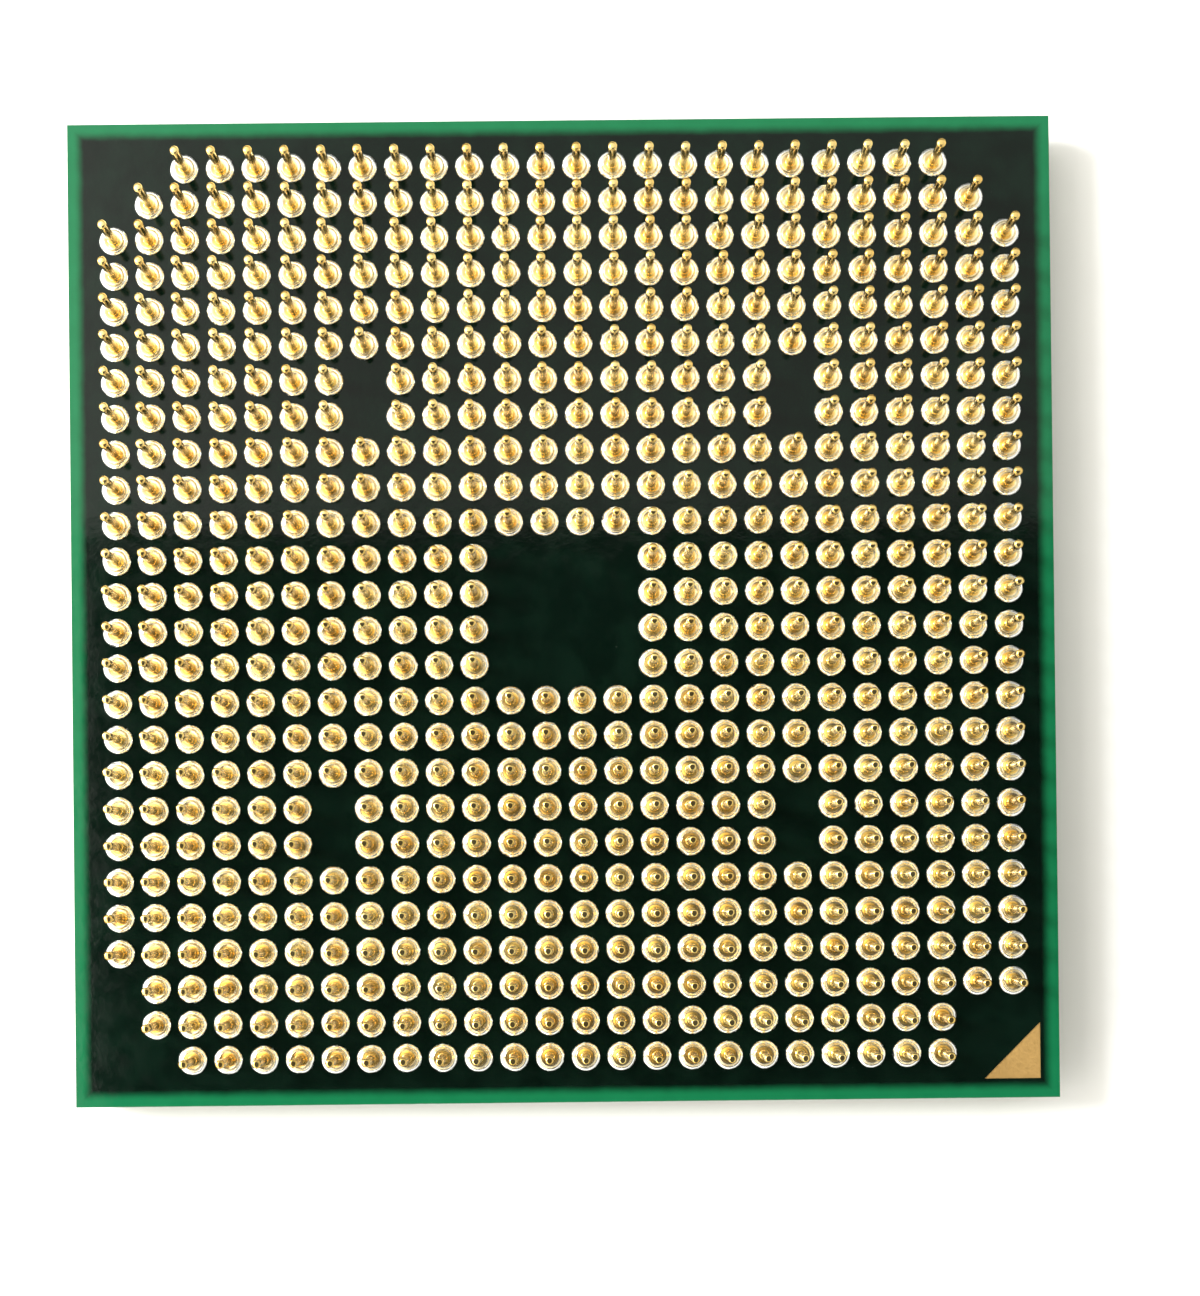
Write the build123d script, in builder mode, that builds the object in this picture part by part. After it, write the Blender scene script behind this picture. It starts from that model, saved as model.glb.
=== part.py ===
"""Lidless pin-grid processor package, as an assembly of separate pieces.

Millimetres, +Z up along the contact pins. The package lies on its bare die, pins up. The origin is the
centre of the die's contact face, on the plane it rests on. The pin-one corner is at +X -Y.
"""
from build123d import *
import os

os.makedirs("parts", exist_ok=True)

# ---------------------------------------------------------------- driving dimensions
# package outline
package_side = 35.0
copper_inset = 0.45  # from the package edge to every copper plane

# contact pins, on a square grid
pin_pitch = 1.27
pins_per_side = 26
pin_radius = 0.1525
pin_length = 2.03  # above the pin-side solder mask
pin_tip_radius = 0.10  # rounding of the free end
pin_root_flare = 0.06  # short cone between shaft and head
head_radius = 0.35
head_thickness = 0.18
head_chamfer = 0.06

# pads and solder under the pins
pad_radius = 0.55
pad_moat = 0.035  # bare ring between a pad and the copper plane
mask_opening_radius = 0.515
solder_bed = 0.035  # solder left between pad and pin head
solder_shoulder_radius = 0.495
solder_shoulder_height = 0.08  # above the mask
solder_crest_radius = 0.44
solder_crest_height = 0.115  # above the mask
solder_groove_height = 0.09  # above the mask, where the collar meets the head's side

# laminate, thickness of each layer
mask_thickness = 0.025
outer_copper_thickness = 0.02
buildup_thickness = 0.12
inner_copper_thickness = 0.03
core_thickness = 0.80

# core vias, on a coarser grid than the pins, halfway between them
via_pitch = 2 * pin_pitch
vias_per_side = 13
via_barrel_radius = 0.15
via_plug_radius = 0.12
via_land_radius = 0.30
via_clearance_radius = 0.50
microvia_radius = 0.06
microvia_offset = 0.21  # beside the barrel, on its land

# die, its solder bumps and the underfill
die_length = 12.2  # along X
die_width = 9.6  # along Y
die_thickness = 0.78
bump_gap = 0.07
bump_pitch = 0.60
bumps_along_x = 20
bumps_along_y = 15
bump_radius = 0.065
bump_neck_radius = 0.05
bump_pad_radius = 0.09
underfill_foot = 1.10  # reach on the mask, beyond the die
underfill_knee = 0.42
underfill_crest = 0.08
underfill_crest_level = 0.28  # above the die's contact face
underfill_knee_level = 0.58
underfill_corner = 0.9
die_window_margin = 0.20  # copper kept away from the die's outline

# decoupling capacitors on the die side
capacitor_length = 1.00
capacitor_width = 0.50
capacitor_end_length = 0.25
capacitor_end_wall = 0.02
capacitor_solder_reach = 0.20
capacitor_solder_rise = 0.25
capacitor_pad_overhang = 0.05
capacitor_pad_moat = 0.05
side_columns = (9.2, 11.2)  # distance of the columns beside the die from its centre
side_column_pitch = 1.35
capacitors_per_column = 6
end_row_distance = 7.6
end_row_pitch = 1.50
capacitors_per_row = 8

# gold marks
marker_leg = 2.0
marker_inset = 0.68  # from the package edges to the marker's two straight sides
marker_overlap = 0.05  # marker metal hidden under the mask's edge
marker_moat = 0.10
fiducial_radius = 0.50
fiducial_opening_radius = 0.75
fiducial_distance = 14.6  # from the centre, along X and along Y

# ---------------------------------------------------------------- levels, from the die's contact face up
die_mask_face = die_thickness + bump_gap
die_copper_level = die_mask_face + mask_thickness
die_buildup_level = die_copper_level + outer_copper_thickness
power_level = die_buildup_level + buildup_thickness
core_level = power_level + inner_copper_thickness
ground_level = core_level + core_thickness
pin_buildup_level = ground_level + inner_copper_thickness
pin_copper_level = pin_buildup_level + buildup_thickness
pin_mask_level = pin_copper_level + outer_copper_thickness
pin_mask_face = pin_mask_level + mask_thickness
pin_top = pin_mask_face + pin_length

copper_side = package_side - 2 * copper_inset

# ---------------------------------------------------------------- places
# Blocks of the pin grid that hold no pin, as (first row, last row, first column, last column).
# Rows count from +Y to -Y and columns from -X to +X, both from 1.
empty_blocks = [
    (12, 15, 12, 15),  # centre well
    (7, 8, 8, 8),
    (7, 8, 20, 20),
    (19, 20, 7, 7),
    (19, 20, 20, 20),
    (1, 1, 1, 2),  # -X +Y corner
    (2, 2, 1, 1),
    (1, 1, 25, 26),  # +X +Y corner
    (2, 2, 26, 26),
    (24, 26, 1, 1),  # -X -Y corner
    (26, 26, 2, 2),
    (25, 26, 25, 26),  # +X -Y corner, the pin-one corner
]


def is_empty(row, column):
    """True where the grid has no pin."""
    for first_row, last_row, first_column, last_column in empty_blocks:
        if first_row <= row <= last_row and first_column <= column <= last_column:
            return True
    return False


grid_middle = (pins_per_side + 1) / 2
pin_points = []
for row in range(1, pins_per_side + 1):
    for column in range(1, pins_per_side + 1):
        if not is_empty(row, column):
            pin_points.append(((column - grid_middle) * pin_pitch, (grid_middle - row) * pin_pitch))

via_middle = (vias_per_side - 1) / 2
ground_via_points = []
power_via_points = []
for i in range(vias_per_side):
    for j in range(vias_per_side):
        point = ((i - via_middle) * via_pitch, (j - via_middle) * via_pitch)
        if (i + j) % 2 == 0:
            ground_via_points.append(point)
        else:
            power_via_points.append(point)
via_points = ground_via_points + power_via_points
microvia_points = [(x + microvia_offset, y) for x, y in via_points]

# Each capacitor's place on the die-side mask; its length lies along the place's own X.
capacitor_places = []
for side in (-1, 1):
    for distance in side_columns:
        for k in range(capacitors_per_column):
            y = (k - (capacitors_per_column - 1) / 2) * side_column_pitch
            capacitor_places.append(Location((side * distance, y, 0), (0, 0, 0)))
    for k in range(capacitors_per_row):
        x = (k - (capacitors_per_row - 1) / 2) * end_row_pitch
        capacitor_places.append(Location((x, side * end_row_distance, 0), (0, 0, 90)))

capacitor_end_x = (capacitor_length - capacitor_end_length) / 2
pad_opening_length = capacitor_end_length + capacitor_solder_reach
pad_opening_x = (capacitor_length + 2 * capacitor_solder_reach - pad_opening_length) / 2
pad_opening_width = capacitor_width + 0.1
capacitor_pad_places = []
for place in capacitor_places:
    for side in (-1, 1):
        capacitor_pad_places.append(place * Location((side * pad_opening_x, 0, 0)))

fiducial_points = [(-fiducial_distance, -fiducial_distance), (fiducial_distance, fiducial_distance)]

# Corner of the marker's right angle
marker_x = package_side / 2 - marker_inset
marker_y = -marker_x


def marker_corners(grow):
    """The three corners of the corner marker, each side moved outward by grow."""
    slant = grow * 2**0.5
    return [
        (marker_x + grow, marker_y - grow),
        (marker_x + grow, marker_y + marker_leg + grow + slant),
        (marker_x - marker_leg - grow - slant, marker_y - grow),
    ]


# ---------------------------------------------------------------- silicon die
with BuildPart() as silicon_die:
    with BuildSketch(Plane.XY):
        Rectangle(die_length, die_width)
    extrude(amount=die_thickness)
silicon_die.part.label = "silicon_die"
export_step(silicon_die.part, "parts/silicon_die.step")

# ---------------------------------------------------------------- solder bumps between die and laminate
with BuildPart() as one_bump:
    with BuildSketch(Plane.XZ):
        with BuildLine():
            Line((0, die_thickness), (bump_neck_radius, die_thickness))
            ThreePointArc(
                (bump_neck_radius, die_thickness),
                (bump_radius, die_thickness + bump_gap / 2),
                (bump_neck_radius, die_mask_face),
            )
            Polyline(
                (bump_neck_radius, die_mask_face),
                (bump_neck_radius, die_copper_level),
                (0, die_copper_level),
                (0, die_thickness),
            )
        make_face()
    revolve(axis=Axis.Z)

with BuildPart() as solder_bumps:
    with GridLocations(bump_pitch, bump_pitch, bumps_along_x, bumps_along_y):
        add(one_bump.part)
solder_bumps.part.label = "solder_bumps"
export_step(solder_bumps.part, "parts/solder_bumps.step")

with BuildPart() as bump_pads:
    with BuildSketch(Plane.XY.offset(die_copper_level)):
        with GridLocations(bump_pitch, bump_pitch, bumps_along_x, bumps_along_y):
            Circle(bump_pad_radius)
    extrude(amount=outer_copper_thickness)
bump_pads.part.label = "bump_pads"
export_step(bump_pads.part, "parts/bump_pads.step")

# ---------------------------------------------------------------- underfill under and round the die
with BuildPart() as underfill:
    for level, reach in (
        (underfill_crest_level, underfill_crest),
        (underfill_knee_level, underfill_knee),
        (die_mask_face, underfill_foot),
    ):
        with BuildSketch(Plane.XY.offset(level)):
            corner = underfill_corner * reach / underfill_foot
            RectangleRounded(die_length + 2 * reach, die_width + 2 * reach, corner)
    loft(ruled=True)
    add(silicon_die.part, mode=Mode.SUBTRACT)
    add(solder_bumps.part, mode=Mode.SUBTRACT)
underfill.part.label = "underfill"
export_step(underfill.part, "parts/underfill.step")

# ---------------------------------------------------------------- die-side solder mask
with BuildPart() as die_side_solder_mask:
    with BuildSketch(Plane.XY.offset(die_mask_face)):
        Rectangle(package_side, package_side)
        with GridLocations(bump_pitch, bump_pitch, bumps_along_x, bumps_along_y):
            Circle(bump_neck_radius, mode=Mode.SUBTRACT)
        with Locations(*capacitor_pad_places):
            Rectangle(pad_opening_length, pad_opening_width, mode=Mode.SUBTRACT)
        with Locations(*fiducial_points):
            Circle(fiducial_opening_radius, mode=Mode.SUBTRACT)
        Polygon(*marker_corners(0), align=None, mode=Mode.SUBTRACT)
    extrude(amount=mask_thickness)
    with BuildSketch(Plane.XY.offset(die_copper_level)):
        Rectangle(package_side, package_side)
        Rectangle(copper_side, copper_side, mode=Mode.SUBTRACT)
    extrude(amount=outer_copper_thickness)
die_side_solder_mask.part.label = "die_side_solder_mask"
export_step(die_side_solder_mask.part, "parts/die_side_solder_mask.step")

# ---------------------------------------------------------------- die-side copper
with BuildPart() as die_side_copper_plane:
    with BuildSketch(Plane.XY.offset(die_copper_level)):
        Rectangle(copper_side, copper_side)
        Rectangle(
            die_length + 2 * die_window_margin,
            die_width + 2 * die_window_margin,
            mode=Mode.SUBTRACT,
        )
        with Locations(*capacitor_pad_places):
            Rectangle(
                pad_opening_length + 2 * (capacitor_pad_overhang + capacitor_pad_moat),
                pad_opening_width + 2 * (capacitor_pad_overhang + capacitor_pad_moat),
                mode=Mode.SUBTRACT,
            )
        with Locations(*fiducial_points):
            Circle(fiducial_opening_radius, mode=Mode.SUBTRACT)
        Polygon(*marker_corners(marker_overlap + marker_moat), align=None, mode=Mode.SUBTRACT)
    extrude(amount=outer_copper_thickness)
die_side_copper_plane.part.label = "die_side_copper_plane"
export_step(die_side_copper_plane.part, "parts/die_side_copper_plane.step")

with BuildPart() as die_side_corner_marker:
    with BuildSketch(Plane.XY.offset(die_copper_level)):
        Polygon(*marker_corners(marker_overlap), align=None)
    extrude(amount=outer_copper_thickness)
die_side_corner_marker.part.label = "die_side_corner_marker"
export_step(die_side_corner_marker.part, "parts/die_side_corner_marker.step")

with BuildPart() as alignment_fiducials:
    with BuildSketch(Plane.XY.offset(die_copper_level)):
        with Locations(*fiducial_points):
            Circle(fiducial_radius)
    extrude(amount=outer_copper_thickness)
alignment_fiducials.part.label = "alignment_fiducials"
export_step(alignment_fiducials.part, "parts/alignment_fiducials.step")

# ---------------------------------------------------------------- decoupling capacitors
with BuildPart() as capacitor_pads:
    with BuildSketch(Plane.XY.offset(die_copper_level)):
        with Locations(*capacitor_pad_places):
            Rectangle(
                pad_opening_length + 2 * capacitor_pad_overhang,
                pad_opening_width + 2 * capacitor_pad_overhang,
            )
    extrude(amount=outer_copper_thickness)
capacitor_pads.part.label = "capacitor_pads"
export_step(capacitor_pads.part, "parts/capacitor_pads.step")

# One capacitor, hanging below the die-side mask, with its length along X
body_width = capacitor_width - 2 * capacitor_end_wall
with BuildPart() as one_capacitor_body:
    with BuildSketch(Plane.XY.offset(die_mask_face - capacitor_width + capacitor_end_wall)):
        Rectangle(capacitor_length - 2 * capacitor_end_wall, body_width)
    extrude(amount=body_width)

with BuildPart() as one_pair_of_end_caps:
    with BuildSketch(Plane.XY.offset(die_mask_face - capacitor_width)):
        with Locations((-capacitor_end_x, 0), (capacitor_end_x, 0)):
            Rectangle(capacitor_end_length, capacitor_width)
    extrude(amount=capacitor_width)
    add(one_capacitor_body.part, mode=Mode.SUBTRACT)

with BuildPart() as one_pair_of_fillets:
    with BuildSketch(Plane.XY.offset(die_mask_face)):
        with Locations((-pad_opening_x, 0), (pad_opening_x, 0)):
            Rectangle(pad_opening_length, pad_opening_width)
    extrude(amount=mask_thickness)
    with BuildSketch(Plane.XZ):
        for side in (-1, 1):
            with BuildLine():
                Polyline(
                    (side * capacitor_length / 2, die_mask_face),
                    (side * (capacitor_length / 2 + capacitor_solder_reach), die_mask_face),
                    (side * capacitor_length / 2, die_mask_face - capacitor_solder_rise),
                    close=True,
                )
            make_face()
    extrude(amount=capacitor_width / 2, both=True)

with BuildPart() as capacitor_bodies:
    with Locations(*capacitor_places):
        add(one_capacitor_body.part)
capacitor_bodies.part.label = "capacitor_bodies"
export_step(capacitor_bodies.part, "parts/capacitor_bodies.step")

with BuildPart() as capacitor_end_caps:
    with Locations(*capacitor_places):
        add(one_pair_of_end_caps.part)
capacitor_end_caps.part.label = "capacitor_end_caps"
export_step(capacitor_end_caps.part, "parts/capacitor_end_caps.step")

with BuildPart() as capacitor_solder:
    with Locations(*capacitor_places):
        add(one_pair_of_fillets.part)
capacitor_solder.part.label = "capacitor_solder"
export_step(capacitor_solder.part, "parts/capacitor_solder.step")

# ---------------------------------------------------------------- die-side build-up layer
with BuildPart() as die_side_buildup:
    with BuildSketch(Plane.XY.offset(die_buildup_level)):
        Rectangle(package_side, package_side)
        with Locations(*microvia_points):
            Circle(microvia_radius, mode=Mode.SUBTRACT)
    extrude(amount=buildup_thickness)
    with BuildSketch(Plane.XY.offset(power_level)):
        Rectangle(package_side, package_side)
        Rectangle(copper_side, copper_side, mode=Mode.SUBTRACT)
    extrude(amount=inner_copper_thickness)
die_side_buildup.part.label = "die_side_buildup"
export_step(die_side_buildup.part, "parts/die_side_buildup.step")

with BuildPart() as die_side_microvias:
    with BuildSketch(Plane.XY.offset(die_buildup_level)):
        with Locations(*microvia_points):
            Circle(microvia_radius)
    extrude(amount=buildup_thickness)
die_side_microvias.part.label = "die_side_microvias"
export_step(die_side_microvias.part, "parts/die_side_microvias.step")

# ---------------------------------------------------------------- power plane, under the core
with BuildPart() as power_plane:
    with BuildSketch(Plane.XY.offset(power_level)):
        Rectangle(copper_side, copper_side)
        with Locations(*power_via_points):
            Circle(via_land_radius, mode=Mode.SUBTRACT)
        with Locations(*ground_via_points):
            Circle(via_clearance_radius, mode=Mode.SUBTRACT)
    extrude(amount=inner_copper_thickness)
power_plane.part.label = "power_plane"
export_step(power_plane.part, "parts/power_plane.step")

# ---------------------------------------------------------------- core with its plated vias
with BuildPart() as core_laminate:
    with BuildSketch(Plane.XY.offset(core_level)):
        Rectangle(package_side, package_side)
        with Locations(*via_points):
            Circle(via_barrel_radius, mode=Mode.SUBTRACT)
    extrude(amount=core_thickness)
core_laminate.part.label = "core_laminate"
export_step(core_laminate.part, "parts/core_laminate.step")

with BuildPart() as one_core_via:
    with BuildSketch(Plane.XZ):
        with BuildLine():
            Polyline(
                (via_plug_radius, power_level),
                (via_land_radius, power_level),
                (via_land_radius, core_level),
                (via_barrel_radius, core_level),
                (via_barrel_radius, ground_level),
                (via_land_radius, ground_level),
                (via_land_radius, pin_buildup_level),
                (via_plug_radius, pin_buildup_level),
                close=True,
            )
        make_face()
    revolve(axis=Axis.Z)

with BuildPart() as core_vias:
    with Locations(*via_points):
        add(one_core_via.part)
core_vias.part.label = "core_vias"
export_step(core_vias.part, "parts/core_vias.step")

with BuildPart() as via_plugs:
    with BuildSketch(Plane.XY.offset(power_level)):
        with Locations(*via_points):
            Circle(via_plug_radius)
    extrude(amount=pin_buildup_level - power_level)
via_plugs.part.label = "via_plugs"
export_step(via_plugs.part, "parts/via_plugs.step")

# ---------------------------------------------------------------- ground plane, over the core
with BuildPart() as ground_plane:
    with BuildSketch(Plane.XY.offset(ground_level)):
        Rectangle(copper_side, copper_side)
        with Locations(*ground_via_points):
            Circle(via_land_radius, mode=Mode.SUBTRACT)
        with Locations(*power_via_points):
            Circle(via_clearance_radius, mode=Mode.SUBTRACT)
    extrude(amount=inner_copper_thickness)
ground_plane.part.label = "ground_plane"
export_step(ground_plane.part, "parts/ground_plane.step")

# ---------------------------------------------------------------- pin-side build-up layer
with BuildPart() as pin_side_buildup:
    with BuildSketch(Plane.XY.offset(ground_level)):
        Rectangle(package_side, package_side)
        Rectangle(copper_side, copper_side, mode=Mode.SUBTRACT)
    extrude(amount=inner_copper_thickness)
    with BuildSketch(Plane.XY.offset(pin_buildup_level)):
        Rectangle(package_side, package_side)
        with Locations(*microvia_points):
            Circle(microvia_radius, mode=Mode.SUBTRACT)
    extrude(amount=buildup_thickness)
pin_side_buildup.part.label = "pin_side_buildup"
export_step(pin_side_buildup.part, "parts/pin_side_buildup.step")

with BuildPart() as pin_side_microvias:
    with BuildSketch(Plane.XY.offset(pin_buildup_level)):
        with Locations(*microvia_points):
            Circle(microvia_radius)
    extrude(amount=buildup_thickness)
pin_side_microvias.part.label = "pin_side_microvias"
export_step(pin_side_microvias.part, "parts/pin_side_microvias.step")

# ---------------------------------------------------------------- pin-side copper
with BuildPart() as pin_side_copper_plane:
    with BuildSketch(Plane.XY.offset(pin_copper_level)):
        Rectangle(copper_side, copper_side)
        with Locations(*pin_points):
            Circle(pad_radius + pad_moat, mode=Mode.SUBTRACT)
        Polygon(*marker_corners(marker_overlap + marker_moat), align=None, mode=Mode.SUBTRACT)
    extrude(amount=outer_copper_thickness)
pin_side_copper_plane.part.label = "pin_side_copper_plane"
export_step(pin_side_copper_plane.part, "parts/pin_side_copper_plane.step")

with BuildPart() as pin_pads:
    with BuildSketch(Plane.XY.offset(pin_copper_level)):
        with Locations(*pin_points):
            Circle(pad_radius)
    extrude(amount=outer_copper_thickness)
pin_pads.part.label = "pin_pads"
export_step(pin_pads.part, "parts/pin_pads.step")

with BuildPart() as pin_one_marker:
    with BuildSketch(Plane.XY.offset(pin_copper_level)):
        Polygon(*marker_corners(marker_overlap), align=None)
    extrude(amount=outer_copper_thickness)
pin_one_marker.part.label = "pin_one_marker"
export_step(pin_one_marker.part, "parts/pin_one_marker.step")

# ---------------------------------------------------------------- pin-side solder mask
with BuildPart() as pin_side_solder_mask:
    with BuildSketch(Plane.XY.offset(pin_copper_level)):
        Rectangle(package_side, package_side)
        Rectangle(copper_side, copper_side, mode=Mode.SUBTRACT)
    extrude(amount=outer_copper_thickness)
    with BuildSketch(Plane.XY.offset(pin_mask_level)):
        Rectangle(package_side, package_side)
        with Locations(*pin_points):
            Circle(mask_opening_radius, mode=Mode.SUBTRACT)
        Polygon(*marker_corners(0), align=None, mode=Mode.SUBTRACT)
    extrude(amount=mask_thickness)
pin_side_solder_mask.part.label = "pin_side_solder_mask"
export_step(pin_side_solder_mask.part, "parts/pin_side_solder_mask.step")

# ---------------------------------------------------------------- nail-headed contact pins
head_level = pin_mask_level + solder_bed
head_top = head_level + head_thickness
tip_start = pin_top - pin_tip_radius
with BuildPart() as one_pin:
    with BuildSketch(Plane.XZ):
        with BuildLine():
            Polyline(
                (0, pin_top),
                (0, head_level),
                (head_radius, head_level),
                (head_radius, head_top - head_chamfer),
                (head_radius - head_chamfer, head_top),
                (pin_radius + pin_root_flare, head_top),
                (pin_radius, head_top + pin_root_flare),
                (pin_radius, tip_start),
            )
            RadiusArc((pin_radius, tip_start), (pin_radius - pin_tip_radius, pin_top), -pin_tip_radius)
            Line((pin_radius - pin_tip_radius, pin_top), (0, pin_top))
        make_face()
    revolve(axis=Axis.Z)

with BuildPart() as contact_pins:
    with Locations(*pin_points):
        add(one_pin.part)
contact_pins.part.label = "contact_pins"
export_step(contact_pins.part, "parts/contact_pins.step")

# ---------------------------------------------------------------- solder collars round the pin heads
crest_level = pin_mask_face + solder_crest_height
groove_level = pin_mask_face + solder_groove_height
shoulder_level = pin_mask_face + solder_shoulder_height
with BuildPart() as one_collar:
    with BuildSketch(Plane.XZ):
        with BuildLine():
            Polyline(
                (0, pin_mask_level),
                (mask_opening_radius, pin_mask_level),
                (mask_opening_radius, pin_mask_face),
                (solder_shoulder_radius, shoulder_level),
                (solder_crest_radius, crest_level),
                (head_radius, groove_level),
                (head_radius, head_level),
                (0, head_level),
                close=True,
            )
        make_face()
    revolve(axis=Axis.Z)

with BuildPart() as pin_solder:
    with Locations(*pin_points):
        add(one_collar.part)
pin_solder.part.label = "pin_solder"
export_step(pin_solder.part, "parts/pin_solder.step")
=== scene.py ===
"""Looks for a lidless pin-grid processor package: pins, solder, solder mask, laminate and die side."""

import math

import bpy
import numpy as np
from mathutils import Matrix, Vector


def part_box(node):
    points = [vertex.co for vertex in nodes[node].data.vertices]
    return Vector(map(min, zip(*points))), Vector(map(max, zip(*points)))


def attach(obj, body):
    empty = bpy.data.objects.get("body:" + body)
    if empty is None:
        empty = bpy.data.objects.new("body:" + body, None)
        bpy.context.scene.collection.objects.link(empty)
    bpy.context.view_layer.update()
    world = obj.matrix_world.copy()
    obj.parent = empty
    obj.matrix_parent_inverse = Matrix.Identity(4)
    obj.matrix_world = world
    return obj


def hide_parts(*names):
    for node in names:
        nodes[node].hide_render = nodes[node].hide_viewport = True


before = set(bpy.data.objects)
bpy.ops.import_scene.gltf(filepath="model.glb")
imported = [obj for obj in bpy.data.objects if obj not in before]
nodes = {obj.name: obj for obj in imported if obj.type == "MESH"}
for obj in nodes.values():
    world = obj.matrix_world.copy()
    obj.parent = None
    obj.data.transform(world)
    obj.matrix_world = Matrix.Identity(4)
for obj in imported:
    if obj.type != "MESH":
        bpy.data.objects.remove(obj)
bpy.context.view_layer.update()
MM = 0.001
PIN_PITCH = 1.27 * MM
rng = np.random.default_rng(638)


# ------------------------------------------------------------------ places and levels, from the frame
def node_vertices(name):
    """Every vertex of a CAD node, as an array of points."""
    mesh = nodes[name].data
    points = np.zeros(len(mesh.vertices) * 3)
    mesh.vertices.foreach_get("co", points)
    return points.reshape(-1, 3)


def pin_places():
    """Centres of the pins, row by row from +Y to -Y, read off the pin pads."""
    points = node_vertices("pin_pads")
    cells = set(map(tuple, np.round(points[:, :2] / PIN_PITCH - 0.5).astype(int)))
    rows = {}
    for column, row in sorted(cells):
        rows.setdefault(row, []).append(((column + 0.5) * PIN_PITCH, (row + 0.5) * PIN_PITCH))
    return [np.array(rows[row]) for row in sorted(rows, reverse=True)]


pin_rows = pin_places()
pad_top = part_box("pin_pads")[1].z
mask_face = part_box("pin_side_solder_mask")[1].z
pin_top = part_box("contact_pins")[1].z
half_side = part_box("pin_side_solder_mask")[1].x
copper_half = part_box("pin_side_copper_plane")[1].x


# ------------------------------------------------------------------ node helpers
class Shader:
    """A material's node tree with one Principled shader, and short calls for the nodes it needs."""

    def __init__(self, name):
        self.material = bpy.data.materials.new(name)
        self.material.use_nodes = True
        self.tree = self.material.node_tree
        self.principled = self.tree.nodes["Principled BSDF"]
        self.object_point = self.node("ShaderNodeTexCoord").outputs["Object"]

    def node(self, kind, **settings):
        """A new node of this kind, with its settings."""
        made = self.tree.nodes.new(kind)
        for key, value in settings.items():
            setattr(made, key, value)
        return made

    def feed(self, socket, value):
        """Links another node's output to the socket, or sets a plain value."""
        if isinstance(value, bpy.types.NodeSocket):
            self.tree.links.new(value, socket)
        else:
            socket.default_value = value

    def noise(self, per_mm, detail=3.0, stretch=(1, 1, 1)):
        """Noise with about per_mm features to a millimetre; stretch slows it along an axis."""
        made = self.node("ShaderNodeTexNoise")
        scaled = self.node("ShaderNodeVectorMath", operation="MULTIPLY")
        self.feed(scaled.inputs[0], self.object_point)
        scaled.inputs[1].default_value = tuple(per_mm * s / MM for s in stretch)
        self.feed(made.inputs["Vector"], scaled.outputs[0])
        made.inputs["Scale"].default_value = 1.0
        made.inputs["Detail"].default_value = detail
        made.inputs["Roughness"].default_value = 0.55
        return made.outputs["Fac"]

    def attribute(self, name):
        """A number stored on the mesh: reach is a share of the solid's radius, lot is random per solid."""
        return self.node("ShaderNodeAttribute", attribute_name=name).outputs["Fac"]

    def math(self, operation, a, b=0.0):
        """Arithmetic on one or two numbers."""
        made = self.node("ShaderNodeMath", operation=operation)
        self.feed(made.inputs[0], a)
        self.feed(made.inputs[1], b)
        return made.outputs[0]

    def steps(self, value, low, high, out_low=0.0, out_high=1.0):
        """Moves value smoothly from low..high to out_low..out_high, flat beyond both ends."""
        made = self.node("ShaderNodeMapRange", interpolation_type="SMOOTHSTEP")
        self.feed(made.inputs["Value"], value)
        self.feed(made.inputs["From Min"], low)
        self.feed(made.inputs["From Max"], high)
        self.feed(made.inputs["To Min"], out_low)
        self.feed(made.inputs["To Max"], out_high)
        return made.outputs["Result"]

    def blend(self, share, first, second):
        """A colour between first and second."""
        made = self.node("ShaderNodeMix", data_type="RGBA")
        self.feed(made.inputs["Factor"], share)
        self.feed(made.inputs["A"], first if isinstance(first, bpy.types.NodeSocket) else (*first, 1.0))
        self.feed(made.inputs["B"], second if isinstance(second, bpy.types.NodeSocket) else (*second, 1.0))
        return made.outputs["Result"]

    def axis(self, index):
        """One object coordinate, in metres: 0 is X, 1 is Y and 2 is Z."""
        split = self.node("ShaderNodeSeparateXYZ")
        self.feed(split.inputs[0], self.object_point)
        return split.outputs[index]

    def bump(self, height, distance_mm, strength):
        """Tilts the surface by a height that spans distance_mm."""
        made = self.node("ShaderNodeBump")
        made.inputs["Strength"].default_value = strength
        made.inputs["Distance"].default_value = distance_mm * MM
        self.feed(made.inputs["Height"], height)
        self.tree.links.new(made.outputs["Normal"], self.principled.inputs["Normal"])

    def finish(self, colour, roughness, metallic=0.0, **more):
        """Fills the Principled shader and hands over the material."""
        self.feed(self.principled.inputs["Base Color"], colour)
        self.feed(self.principled.inputs["Roughness"], roughness)
        self.feed(self.principled.inputs["Metallic"], metallic)
        for key, value in more.items():
            self.feed(self.principled.inputs[key], value)
        return self.material


# ------------------------------------------------------------------ materials
def solder_material():
    """Bright reflowed solder, warmer where it meets the gold, with a fine frozen grain."""
    s = Shader("reflowed_solder")
    near_gold = s.steps(s.attribute("reach"), 0.66, 0.80, 1.0, 0.0)
    silver = s.blend(s.noise(2.2), (0.90, 0.91, 0.89), (0.97, 0.98, 0.96))
    stained = s.blend(s.math("MULTIPLY", near_gold, 0.30), silver, (0.92, 0.78, 0.52))
    grain = s.noise(9.0, detail=4.0)
    rough = s.steps(grain, 0.3, 0.75, 0.20, 0.30)
    s.bump(s.noise(2.2, detail=2.0), 0.010, 0.12)
    return s.finish(stained, rough, 1.0)


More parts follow.
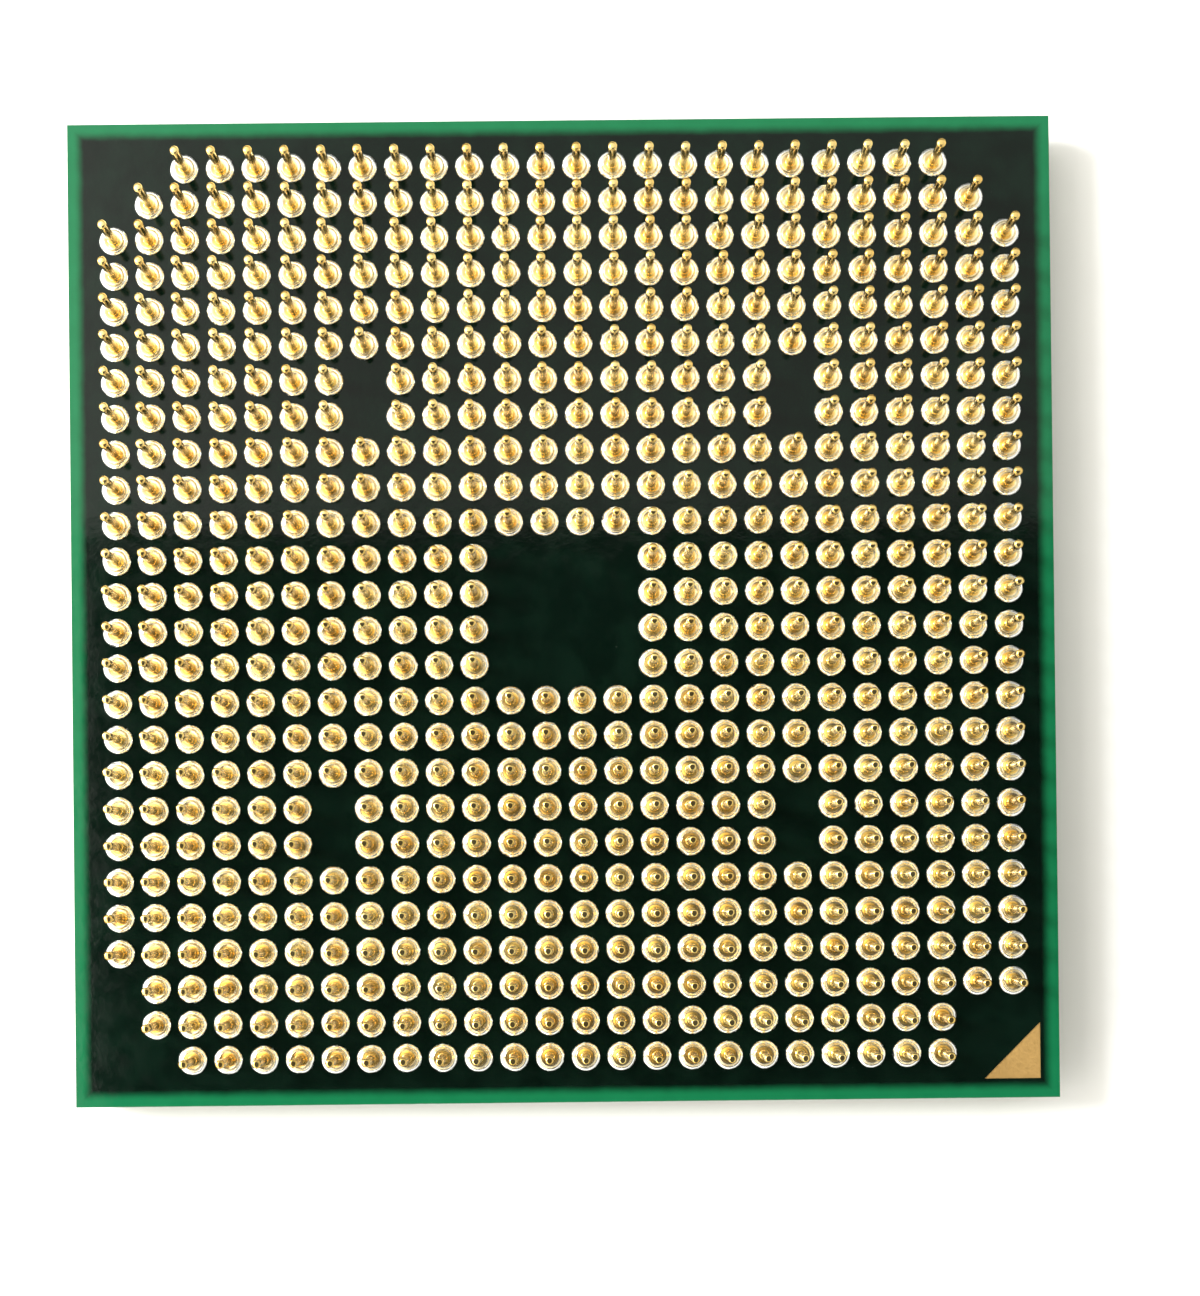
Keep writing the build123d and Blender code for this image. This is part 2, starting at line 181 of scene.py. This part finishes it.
def gold_pin_material():
    """Gold plate over nickel: paler where solder has wetted the head, with drawn lines up the shaft."""
    s = Shader("pin_gold_plate")
    lot = s.attribute("lot")
    gold = s.blend(lot, (0.93, 0.66, 0.21), (1.0, 0.82, 0.36))
    shade = s.steps(s.noise(3.5), 0.3, 0.7)
    gold = s.blend(s.math("MULTIPLY", shade, 0.20), gold, (0.86, 0.50, 0.14))
    reach = s.attribute("reach")
    wetted = s.steps(reach, 0.58, 0.90, 0.0, 0.70)
    colour = s.blend(wetted, gold, (0.94, 0.88, 0.70))
    on_shaft = s.math("SUBTRACT", s.steps(reach, 0.36, 0.42), s.steps(reach, 0.46, 0.52))
    lines = s.noise(16.0, detail=2.0, stretch=(1, 1, 0.03))
    satin = s.steps(lines, 0.3, 0.7, 0.15, 0.25)
    rough = s.math("MULTIPLY", satin, s.steps(reach, 0.30, 0.42, 0.45, 1.0))
    s.bump(s.math("MULTIPLY", lines, on_shaft), 0.004, 0.5)
    return s.finish(colour, rough, 1.0)


def marker_material():
    """Flat soft gold on copper, satin, with a faint grain."""
    s = Shader("marker_gold_plate")
    colour = s.blend(s.noise(6.0, detail=5.0), (0.57, 0.35, 0.11), (0.68, 0.43, 0.155))
    s.bump(s.noise(14.0, detail=4.0), 0.004, 0.6)
    return s.finish(colour, s.steps(s.noise(10.0), 0.3, 0.7, 0.42, 0.56), 0.75)


def mask_material(name):
    """Glossy green solder mask: near black over copper, bright green where bare laminate lies under it."""
    s = Shader(name)
    from_x = s.math("SUBTRACT", half_side, s.math("ABSOLUTE", s.axis(0)))
    from_y = s.math("SUBTRACT", half_side, s.math("ABSOLUTE", s.axis(1)))
    from_edge = s.math("MINIMUM", from_x, from_y)
    wander = s.math("MULTIPLY", s.math("SUBTRACT", s.noise(1.5), 0.5), 0.10 * MM)
    border = half_side - copper_half
    fade_from, fade_to = border - 0.25 * MM, border + 0.17 * MM
    over_copper = s.steps(s.math("ADD", from_edge, wander), fade_from, fade_to)
    bare = s.blend(s.noise(1.1), (0.004, 0.118, 0.043), (0.008, 0.150, 0.059))
    cloud = s.steps(s.noise(0.8, detail=5.0), 0.35, 0.7)
    dark = s.blend(cloud, (0.0006, 0.0044, 0.0024), (0.0018, 0.0088, 0.0050))
    colour = s.blend(over_copper, bare, dark)
    dust = s.steps(s.noise(11.0, detail=2.0), 0.80, 0.84)
    colour = s.blend(s.math("MULTIPLY", dust, 0.10), colour, (0.45, 0.47, 0.44))
    s.bump(s.noise(2.6, detail=3.0), 0.010, 0.25)
    rough = s.steps(s.noise(1.8), 0.3, 0.7, 0.06, 0.12)
    return s.finish(colour, rough, 0.0, IOR=1.31)


def laminate_material(name, light, dark, glass_lines):
    """Sawn glass-epoxy edge: fine level glass layers, drawn out by the saw."""
    s = Shader(name)
    layers = s.noise(glass_lines, detail=3.0, stretch=(0.08, 0.08, 1.0))
    fibres = s.noise(9.0, detail=4.0)
    colour = s.blend(s.steps(layers, 0.35, 0.65), dark, light)
    bright_fibre = tuple(min(1.0, 1.5 * channel) for channel in light)
    colour = s.blend(s.math("MULTIPLY", s.steps(fibres, 0.5, 0.75), 0.35), colour, bright_fibre)
    s.bump(s.math("ADD", layers, fibres), 0.012, 0.6)
    return s.finish(colour, s.steps(fibres, 0.3, 0.7, 0.45, 0.7))


def copper_material():
    """Etched copper of the planes, pads and vias, dull with a fine grain."""
    s = Shader("plane_copper")
    colour = s.blend(s.noise(3.0), (0.72, 0.34, 0.20), (0.86, 0.46, 0.29))
    s.bump(s.noise(12.0), 0.003, 0.5)
    return s.finish(colour, s.steps(s.noise(5.0), 0.3, 0.7, 0.28, 0.42), 1.0)


def silicon_material():
    """Bare silicon back: dark, mirror-like, with faint grinding lines."""
    s = Shader("bare_silicon")
    lines = s.noise(14.0, detail=2.0, stretch=(1.0, 0.03, 1.0))
    cloud = s.noise(0.35, detail=3.0)
    colour = s.blend(cloud, (0.17, 0.18, 0.205), (0.25, 0.26, 0.285))
    s.bump(lines, 0.0015, 0.35)
    return s.finish(colour, s.steps(lines, 0.3, 0.7, 0.07, 0.15), 0.85)


def underfill_material():
    """Dark epoxy drawn in under the die, cloudy and slightly rough."""
    s = Shader("underfill_epoxy")
    colour = s.blend(s.noise(1.6, detail=5.0), (0.010, 0.009, 0.008), (0.035, 0.030, 0.024))
    s.bump(s.noise(4.0, detail=5.0), 0.02, 0.4)
    return s.finish(colour, s.steps(s.noise(2.5), 0.3, 0.7, 0.28, 0.48))


def ceramic_material():
    """Brown fired ceramic of the chip capacitors."""
    s = Shader("capacitor_ceramic")
    colour = s.blend(s.noise(14.0, detail=5.0), (0.30, 0.20, 0.13), (0.44, 0.31, 0.21))
    s.bump(s.noise(22.0, detail=4.0), 0.004, 0.6)
    return s.finish(colour, s.steps(s.noise(9.0), 0.3, 0.7, 0.38, 0.55))


def tin_material(name, rough_low, rough_high):
    """Tin or small solder: grey metal with a fine grain."""
    s = Shader(name)
    colour = s.blend(s.noise(8.0, detail=4.0), (0.66, 0.65, 0.62), (0.82, 0.81, 0.78))
    s.bump(s.noise(16.0, detail=4.0), 0.006, 0.5)
    return s.finish(colour, s.steps(s.noise(12.0), 0.3, 0.7, rough_low, rough_high), 1.0)


def resin_material():
    """Matte filler in the core's vias."""
    s = Shader("via_resin")
    colour = s.blend(s.noise(9.0), (0.48, 0.44, 0.36), (0.62, 0.58, 0.48))
    return s.finish(colour, s.steps(s.noise(6.0), 0.3, 0.7, 0.55, 0.75))


def paper_material():
    """Plain white card under the object."""
    s = Shader("pale_card")
    colour = s.blend(s.noise(0.5), (0.90, 0.90, 0.89), (0.93, 0.93, 0.92))
    return s.finish(colour, 0.75)


# ------------------------------------------------------------------ mesh helpers
def new_piece(mesh, material, replaced):
    """Links a finished mesh as a piece of the object, in place of a CAD node."""
    piece = bpy.data.objects.new(mesh.name, mesh)
    bpy.context.scene.collection.objects.link(piece)
    mesh.materials.append(material)
    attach(piece, "root")
    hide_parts(replaced)


def smooth_profile(points, per_span=2):
    """A smooth line of (radius, height) through the given points, by Catmull-Rom spans."""
    points = np.array(points, float)
    padded = np.vstack([2 * points[0] - points[1], points, 2 * points[-1] - points[-2]])
    line = []
    for i in range(1, len(padded) - 2):
        a, b, c, d = padded[i - 1 : i + 3]
        for t in np.arange(per_span) / per_span:
            square = (2 * a - 5 * b + 4 * c - d) * t**2
            cube = (3 * b - a - 3 * c + d) * t**3
            line.append(0.5 * (2 * b + (c - a) * t + square + cube))
    line.append(points[-1])
    return np.array(line)


def revolved_row(name, places, profile, segments, shape):
    """One mesh of closed revolved solids, one per place.

    profile holds (radius, height) from the axis round to the axis, in mm above the pads.
    shape(count, angles, radii, heights) gives each solid its own radii, heights and sideways shifts, in mm.
    """
    count, rings = len(places), len(profile) - 2
    angles = 2 * math.pi * np.arange(segments) / segments
    radii, heights, shift = shape(count, angles, profile[:, 0], profile[:, 1])
    x = radii * np.cos(angles)[None, None, :] + shift[..., 0][:, :, None]
    y = radii * np.sin(angles)[None, None, :] + shift[..., 1][:, :, None]
    on_rings = np.stack([x, y, heights], -1)[:, 1:-1].reshape(count, -1, 3)
    on_axis = np.stack([shift[..., 0], shift[..., 1], heights[..., 0]], -1)
    points = np.concatenate([on_axis[:, :1], on_rings, on_axis[:, -1:]], axis=1) * MM
    points[..., :2] += np.array(places)[:, None, :]
    points[..., 2] += pad_top
    per_solid = points.shape[1]

    # point 0 is the lower end on the axis, then come the rings, and the last point is the upper end
    now = list(range(1, segments + 1))
    after = now[1:] + now[:1]
    faces = [(0, b, a) for a, b in zip(now, after)]
    for ring in range(rings - 1):
        low, high = ring * segments, (ring + 1) * segments
        faces += [(a + low, b + low, b + high, a + high) for a, b in zip(now, after)]
    top, last = per_solid - 1, (rings - 1) * segments
    faces += [(a + last, b + last, top) for a, b in zip(now, after)]
    all_faces = [tuple(i + k * per_solid for i in face) for k in range(count) for face in faces]

    mesh = bpy.data.meshes.new(name)
    mesh.from_pydata(points.reshape(-1, 3), [], all_faces)
    mesh.shade_smooth()
    reach = np.concatenate([[0.0], np.repeat(profile[1:-1, 0], segments), [0.0]])
    store(mesh, "reach", np.tile(reach / profile[:, 0].max(), count))
    store(mesh, "lot", np.repeat(rng.random(count), per_solid))
    return mesh


def store(mesh, name, values):
    """Keeps one number per vertex on the mesh, for its material to read."""
    attribute = mesh.attributes.new(name, "FLOAT", "POINT")
    attribute.data.foreach_set("value", values.astype(np.float32))


# ------------------------------------------------------------------ contact pins
# radii and heights in mm, heights above the pads
PIN_HEIGHT = (pin_top - pad_top) / MM
SHAFT_RADIUS = 0.1525
HEAD_RADIUS = 0.35
HEAD_FOOT = 0.035
HEAD_TOP = 0.195
HEAD_UNEVEN = 0.008  # rise and fall of a head's rim, mm
HEAD_OVAL = 0.012  # share of the radius by which a head is out of round
PIN_LEAN = 0.006  # standard deviation of a tip's stray sideways, mm
PIN_SEGMENTS = 24
pin_outline = smooth_profile(
    [
        (HEAD_RADIUS, HEAD_FOOT),
        (HEAD_RADIUS, HEAD_TOP - 0.035),
        (HEAD_RADIUS - 0.006, HEAD_TOP - 0.010),
        (HEAD_RADIUS - 0.024, HEAD_TOP),
        (0.285, HEAD_TOP - 0.006),
        (0.230, HEAD_TOP - 0.016),
        (0.185, HEAD_TOP - 0.024),
        (0.158, HEAD_TOP - 0.010),
        (SHAFT_RADIUS, HEAD_TOP + 0.030),
        (SHAFT_RADIUS, PIN_HEIGHT * 0.5),
        (SHAFT_RADIUS, PIN_HEIGHT - 0.095),
        (SHAFT_RADIUS - 0.010, PIN_HEIGHT - 0.045),
        (SHAFT_RADIUS - 0.040, PIN_HEIGHT - 0.012),
        (0.070, PIN_HEIGHT - 0.002),
    ]
)
pin_profile = np.vstack([(0, HEAD_FOOT), pin_outline, (0, PIN_HEIGHT)])


def pin_shape(count, angles, radii, heights):
    """Pins that differ by a slight lean and a slightly uneven head."""
    k = len(radii)
    r = np.broadcast_to(radii[None, :, None], (count, k, len(angles))).copy()
    z = np.broadcast_to(heights[None, :, None], r.shape).copy()
    head = np.clip((radii - 0.2) / 0.1, 0, 1)[None, :, None]  # 0 on the shaft, 1 on the head
    phase = rng.uniform(0, 2 * math.pi, (count, 1, 1))
    z += head * HEAD_UNEVEN * np.cos(angles[None, None, :] - phase)
    r *= 1 + head * HEAD_OVAL * np.cos(2 * angles[None, None, :] + phase)
    lean = rng.normal(0, PIN_LEAN, (count, 1, 2))
    shift = lean * (heights / PIN_HEIGHT)[None, :, None] ** 1.5
    return r, z, shift


# ------------------------------------------------------------------ solder collars
COLLAR_FOOT = (mask_face - pad_top) / MM
COLLAR_RADIUS = 0.515
RIM_WAVE = 0.0045  # size of the rim's slow waves, mm
CREST_WAVE = 0.055  # share of the height by which the crest swells and sinks
MOST_SPREAD = 0.014  # the furthest that solder runs out, mm
NICKS = 3  # nicks or spurs tried on each collar
NICK_DEPTH = (-0.004, 0.014)  # mean and standard deviation, mm; a spur is a nick above zero
NICK_WIDTH = (0.10, 0.25)  # least and most, radians
NICK_SINK = 0.4  # share of a nick's depth that also lowers the crest
COLLAR_SEGMENTS = 36
collar_outline = smooth_profile(
    [
        (COLLAR_RADIUS, 0.0),
        (COLLAR_RADIUS, COLLAR_FOOT + 0.008),
        (0.509, COLLAR_FOOT + 0.036),
        (0.492, COLLAR_FOOT + 0.064),
        (0.466, COLLAR_FOOT + 0.090),
        (0.438, COLLAR_FOOT + 0.108),
        (0.416, COLLAR_FOOT + 0.115),
        (0.398, COLLAR_FOOT + 0.110),
        (0.376, COLLAR_FOOT + 0.094),
        (HEAD_RADIUS + 0.004, COLLAR_FOOT + 0.080),
    ]
)
under_head = HEAD_FOOT - 0.004
collar_profile = np.vstack([(0, 0), collar_outline, (HEAD_RADIUS + 0.003, under_head), (0, under_head)])


def collar_shape(count, angles, radii, heights):
    """Collars that differ by slow waves round the rim, crest height, and a few small nicks and spurs."""
    k = len(radii)
    flank = np.clip((radii - HEAD_RADIUS - 0.01) / 0.1, 0, 1)  # 0 against the head, 1 on the outer slope
    flank = np.where(heights > COLLAR_FOOT - 0.001, flank, 0.0)[None, :, None]
    a = angles[None, None, :]
    wave = np.zeros((count, 1, len(angles)))
    swell = np.zeros_like(wave)
    for order in range(1, 7):
        size = rng.normal(0, 1.0 / order**0.8, (count, 2, 1, 1))
        phase = rng.uniform(0, 2 * math.pi, (count, 2, 1, 1))
        wave += size[:, 0] * np.cos(order * a + phase[:, 0])
        swell += size[:, 1] * np.cos(order * a + phase[:, 1])
    nick = np.zeros_like(wave)
    for _ in range(NICKS):
        depth = rng.normal(*NICK_DEPTH, (count, 1, 1))
        where = rng.uniform(-math.pi, math.pi, (count, 1, 1))
        width = rng.uniform(*NICK_WIDTH, (count, 1, 1))
        gap = (a - where + math.pi) % (2 * math.pi) - math.pi
        nick += depth * np.exp(-((gap / width) ** 2))
    r = radii[None, :, None] + flank * np.minimum(RIM_WAVE * wave + nick, MOST_SPREAD)
    z = heights[None, :, None] * (1 + flank * CREST_WAVE * swell) + flank * NICK_SINK * nick
    return r, np.broadcast_to(z, r.shape).copy(), np.zeros((count, k, 2))


def build_pins_and_solder():
    """One mesh of pins and one of collars for each row of the grid, in place of the two CAD nodes."""
    gold = gold_pin_material()
    solder = solder_material()
    paint(["contact_pins"], gold)
    paint(["pin_solder"], solder)
    for number, places in enumerate(pin_rows, 1):
        name = f"contact_pins_row_{number:02d}"
        mesh = revolved_row(name, places, pin_profile, PIN_SEGMENTS, pin_shape)
        new_piece(mesh, gold, "contact_pins")
        name = f"pin_solder_row_{number:02d}"
        mesh = revolved_row(name, places, collar_profile, COLLAR_SEGMENTS, collar_shape)
        new_piece(mesh, solder, "pin_solder")


# ------------------------------------------------------------------ CAD nodes that stay
def paint(names, material, bevel_mm=0.0):
    """Gives CAD nodes their material, and a softened edge where asked."""
    for name in names:
        node = nodes[name]
        node.data.materials.clear()
        node.data.materials.append(material)
        if bevel_mm:
            bevel = node.modifiers.new("softened_edges", "BEVEL")
            bevel.width = bevel_mm * MM
            bevel.segments = 2
            bevel.limit_method = "ANGLE"


def paint_cad_nodes():
    paint(["pin_side_solder_mask"], mask_material("pin_side_mask"))
    paint(["die_side_solder_mask"], mask_material("die_side_mask"))
    paint(["pin_one_marker", "die_side_corner_marker", "alignment_fiducials"], marker_material())
    core = laminate_material("core_glass_epoxy", (0.34, 0.38, 0.20), (0.20, 0.24, 0.11), 9.0)
    paint(["core_laminate"], core)
    buildup = laminate_material("buildup_resin", (0.20, 0.26, 0.12), (0.12, 0.17, 0.07), 14.0)
    paint(["pin_side_buildup", "die_side_buildup"], buildup)
    planes = ["pin_side_copper_plane", "die_side_copper_plane", "ground_plane", "power_plane"]
    pads = ["pin_pads", "bump_pads", "capacitor_pads"]
    vias = ["core_vias", "pin_side_microvias", "die_side_microvias"]
    paint(planes + pads + vias, copper_material())
    paint(["via_plugs"], resin_material())
    paint(["silicon_die"], silicon_material(), bevel_mm=0.02)
    paint(["capacitor_bodies"], ceramic_material(), bevel_mm=0.02)
    paint(["capacitor_end_caps"], tin_material("tin_plate", 0.28, 0.42))
    paint(["solder_bumps", "capacitor_solder"], tin_material("small_solder", 0.16, 0.28))
    paint(["underfill"], underfill_material())


# ------------------------------------------------------------------ floor, light and camera
def flat_card(name, low, high, height, material):
    """A level rectangle that is staging and not part of the object."""
    corners = [(low[0], low[1]), (high[0], low[1]), (high[0], high[1]), (low[0], high[1])]
    mesh = bpy.data.meshes.new(name)
    mesh.from_pydata([(x, y, height) for x, y in corners], [], [(0, 1, 2, 3)])
    mesh.materials.append(material)
    card = bpy.data.objects.new(name, mesh)
    bpy.context.scene.collection.objects.link(card)
    return card


def build_floor():
    """A white table top, wide enough to fill the main view."""
    half = 0.6
    flat_card("floor", (-half, -half), (half, half), 0, paper_material())


def build_dark_flag():
    """A dark card above the camera: what the metal and the mask mirror from straight overhead."""
    s = Shader("flag_black")
    black = s.finish((0.02, 0.02, 0.02, 1.0), 0.6)
    low = (-36 * MM, -140 * MM)
    high = (45 * MM, 17 * MM)
    flag = flat_card("overhead_flag", low, high, 84 * MM, black)
    flag.visible_camera = False


def build_world():
    """Warm room light, brighter towards the window side at -X. The camera itself sees an even backdrop."""
    world = bpy.data.worlds.new("room")
    bpy.context.scene.world = world
    world.use_nodes = True
    tree = world.node_tree
    background = tree.nodes["Background"]
    direction = tree.nodes.new("ShaderNodeTexCoord").outputs["Generated"]
    split = tree.nodes.new("ShaderNodeSeparateXYZ")
    tree.links.new(direction, split.inputs[0])
    x, y, z = split.outputs

    def ramp(value, low, high, out_low, out_high):
        made = tree.nodes.new("ShaderNodeMapRange")
        made.interpolation_type = "SMOOTHSTEP"
        tree.links.new(value, made.inputs["Value"])
        made.inputs["From Min"].default_value = low
        made.inputs["From Max"].default_value = high
        made.inputs["To Min"].default_value = out_low
        made.inputs["To Max"].default_value = out_high
        return made.outputs["Result"]

    def product(*factors):
        total = factors[0]
        for factor in factors[1:]:
            made = tree.nodes.new("ShaderNodeMath")
            made.operation = "MULTIPLY"
            tree.links.new(total, made.inputs[0])
            tree.links.new(factor, made.inputs[1])
            total = made.outputs[0]
        return total

    # each ramp scales the light by the direction that it comes from
    across = ramp(x, -0.9, 0.9, 2.50, 0.88)
    away = ramp(y, 0.45, 0.92, 1.27, 0.12)
    behind = ramp(y, -1.0, -0.45, 0.80, 1.0)
    ceiling_edge = ramp(x, -0.30, -0.06, 1.15, 0.56)
    ceiling_share = ramp(z, 0.45, 0.92, 0.0, 1.0)
    ceiling = tree.nodes.new("ShaderNodeMix")
    tree.links.new(ceiling_share, ceiling.inputs["Factor"])
    ceiling.inputs["A"].default_value = 1.0
    tree.links.new(ceiling_edge, ceiling.inputs["B"])
    backdrop = tree.nodes.new("ShaderNodeMix")
    seen_directly = tree.nodes.new("ShaderNodeLightPath").outputs["Is Camera Ray"]
    room = product(across, away, behind, ceiling.outputs["Result"])
    tree.links.new(seen_directly, backdrop.inputs["Factor"])
    tree.links.new(room, backdrop.inputs["A"])
    backdrop.inputs["B"].default_value = 1.0
    tree.links.new(backdrop.outputs["Result"], background.inputs["Strength"])
    background.inputs["Color"].default_value = (1.0, 0.975, 0.90, 1.0)


def build_window_light():
    """A bright window off to the -X side, turned towards the package."""
    place_mm = Vector((-300, 80, 250))
    data = bpy.data.lights.new("window_key", "AREA")
    data.shape = "SQUARE"
    data.size = 115 * MM
    data.energy = 1.7
    data.color = (0.96, 0.985, 1.0)
    lamp = bpy.data.objects.new("window_key", data)
    bpy.context.scene.collection.objects.link(lamp)
    lamp.location = place_mm * MM
    lamp.rotation_euler = (-place_mm).to_track_quat("-Z", "Y").to_euler()


def build_camera():
    """Nearly straight down, aimed near the -Y edge, with the frame shifted up over the package."""
    data = bpy.data.cameras.new("camera")
    data.sensor_width = 36.0
    data.lens = 61.0
    data.shift_x = 0.0085
    data.shift_y = 0.184
    data.clip_start = 0.005
    data.clip_end = 10.0
    camera = bpy.data.objects.new("camera", data)
    bpy.context.scene.collection.objects.link(camera)
    above_mask = 78.16 * MM
    camera.location = (0.59 * MM, -10.27 * MM, mask_face + above_mask)
    tilt_degrees = (0.323, -0.159, -0.613)
    camera.rotation_euler = [math.radians(angle) for angle in tilt_degrees]
    bpy.context.scene.camera = camera


build_pins_and_solder()
paint_cad_nodes()
build_floor()
build_dark_flag()
build_world()
build_window_light()
build_camera()
bpy.context.scene.view_settings.view_transform = "Standard"
